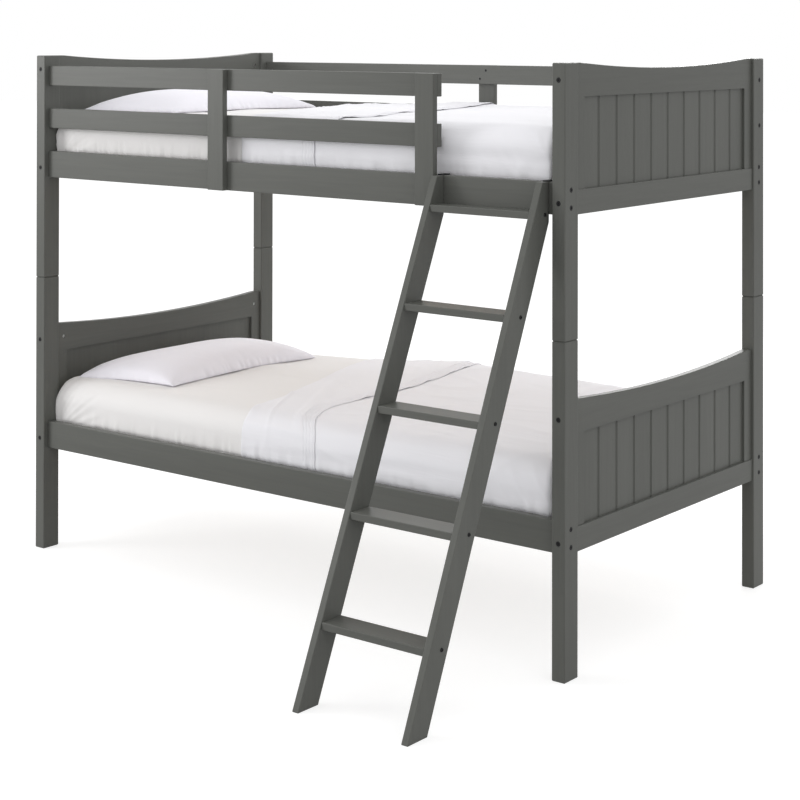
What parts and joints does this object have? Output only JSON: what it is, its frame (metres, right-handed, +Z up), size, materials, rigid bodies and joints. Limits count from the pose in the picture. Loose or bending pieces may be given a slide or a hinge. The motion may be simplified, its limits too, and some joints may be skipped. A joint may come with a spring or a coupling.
{
  "type": "bunk bed",
  "caption": "Twin over twin bunk bed of painted wood with panelled ends, guard rails, a leaning hook-on ladder and made-up mattresses.",
  "frame": {"origin": "on the floor, under the middle of the bounding box with the ladder in place", "axes": "+X along the bed from head to foot, +Y from the ladder side to the back, +Z up"},
  "size_m": [2.0204, 1.6644, 1.577],
  "materials": {
    "painted_wood": "satin",
    "pine": "matte",
    "black_steel": "satin",
    "zinc_steel": "satin",
    "mattress_cloth": "matte",
    "sheet_cloth": "matte",
    "pillow_cloth": "matte"
  },
  "bodies": {
    "lower_bed": {"lower_post_front_head": "painted_wood", "lower_post_front_foot": "painted_wood", "lower_side_rail_front": "painted_wood", "lower_post_back_head": "painted_wood", "lower_post_back_foot": "painted_wood", "lower_side_rail_back": "painted_wood", "lower_headboard_top_rail": "painted_wood", "lower_headboard_bottom_rail": "painted_wood", "lower_headboard_stiles": "painted_wood", "lower_headboard_panel": "painted_wood", "lower_footboard_top_rail": "painted_wood", "lower_footboard_bottom_rail": "painted_wood", "lower_footboard_stiles": "painted_wood", "lower_footboard_panel": "painted_wood", "lower_slats": "pine", "lower_slat_ledgers": "pine", "lower_frame_bolts": "black_steel", "lower_barrel_nuts": "zinc_steel", "stacking_pins": "zinc_steel"},
    "upper_bed": {"upper_post_front_head": "painted_wood", "upper_post_front_foot": "painted_wood", "upper_side_rail_front": "painted_wood", "upper_post_back_head": "painted_wood", "upper_post_back_foot": "painted_wood", "upper_side_rail_back": "painted_wood", "upper_headboard_top_rail": "painted_wood", "upper_headboard_bottom_rail": "painted_wood", "upper_headboard_stiles": "painted_wood", "upper_headboard_panel": "painted_wood", "upper_footboard_top_rail": "painted_wood", "upper_footboard_bottom_rail": "painted_wood", "upper_footboard_stiles": "painted_wood", "upper_footboard_panel": "painted_wood", "upper_slats": "pine", "upper_slat_ledgers": "pine", "upper_frame_bolts": "black_steel", "upper_barrel_nuts": "zinc_steel", "guard_front_top_rail": "painted_wood", "guard_front_middle_rail": "painted_wood", "guard_back_top_rail": "painted_wood", "guard_back_middle_rail": "painted_wood", "guard_battens": "painted_wood", "guard_screws": "black_steel"},
    "ladder": {"ladder_stile_left": "painted_wood", "ladder_stile_right": "painted_wood", "ladder_tread_1": "painted_wood", "ladder_tread_2": "painted_wood", "ladder_tread_3": "painted_wood", "ladder_tread_4": "painted_wood", "ladder_tread_5": "painted_wood", "ladder_bolts": "black_steel", "ladder_barrel_nuts": "zinc_steel", "ladder_hooks": "black_steel", "ladder_hook_screws": "zinc_steel"},
    "lower_mattress": {"lower_mattress": "mattress_cloth", "lower_top_sheet": "sheet_cloth"},
    "lower_pillow": {"lower_pillow": "pillow_cloth"},
    "upper_mattress": {"upper_mattress": "mattress_cloth", "upper_top_sheet": "sheet_cloth"},
    "upper_pillow": {"upper_pillow": "pillow_cloth"}
  },
  "joints": [
    {"name": "upper_bed_lift", "type": "slide", "parent": "lower_bed", "child": "upper_bed", "axis": [0, 0, 1], "range_m": [0, 0.06]},
    {"name": "ladder_lift", "type": "slide", "parent": "upper_bed", "child": "ladder", "axis": [0, 0, 1], "range_m": [0, 0.06]},
    {"name": "lower_mattress_lift", "type": "slide", "parent": "lower_bed", "child": "lower_mattress", "axis": [0, 0, 1], "range_m": [0, 0.12]},
    {"name": "lower_pillow_lift", "type": "slide", "parent": "lower_mattress", "child": "lower_pillow", "axis": [0, 0, 1], "range_m": [0, 0.1]},
    {"name": "upper_mattress_lift", "type": "slide", "parent": "upper_bed", "child": "upper_mattress", "axis": [0, 0, 1], "range_m": [0, 0.34]},
    {"name": "upper_pillow_lift", "type": "slide", "parent": "upper_mattress", "child": "upper_pillow", "axis": [0, 0, 1], "range_m": [0, 0.1]}
  ]
}
